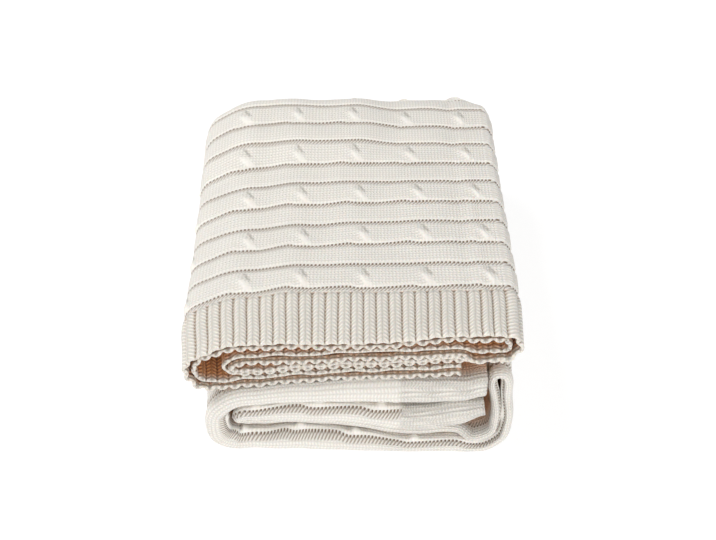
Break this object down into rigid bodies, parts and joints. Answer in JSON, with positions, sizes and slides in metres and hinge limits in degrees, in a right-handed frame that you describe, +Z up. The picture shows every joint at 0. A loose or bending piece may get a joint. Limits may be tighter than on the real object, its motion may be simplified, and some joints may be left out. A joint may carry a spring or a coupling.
{
  "type": "folded knit throw",
  "caption": "Cable-knit throw blanket folded into a soft thick pack, with ribbed edge bands and rounded folds.",
  "frame": {"origin": "on the supporting surface, under the middle of the folded pack's box", "axes": "+X along the cables to the side with the short ends, -Y to the front edge with the rib bands, +Z up"},
  "size_m": [0.3413, 0.4489, 0.1767],
  "materials": {
    "cable_knit": "matt cotton yarn, cable and stockinette knit",
    "rib_knit": "matt cotton yarn, rib knit"
  },
  "bodies": {
    "root": {"Cable_Knit_Panel": "cable_knit", "Rib_Band_Outer": "rib_knit", "Rib_Band_Inner": "rib_knit"}
  },
  "joints": []
}
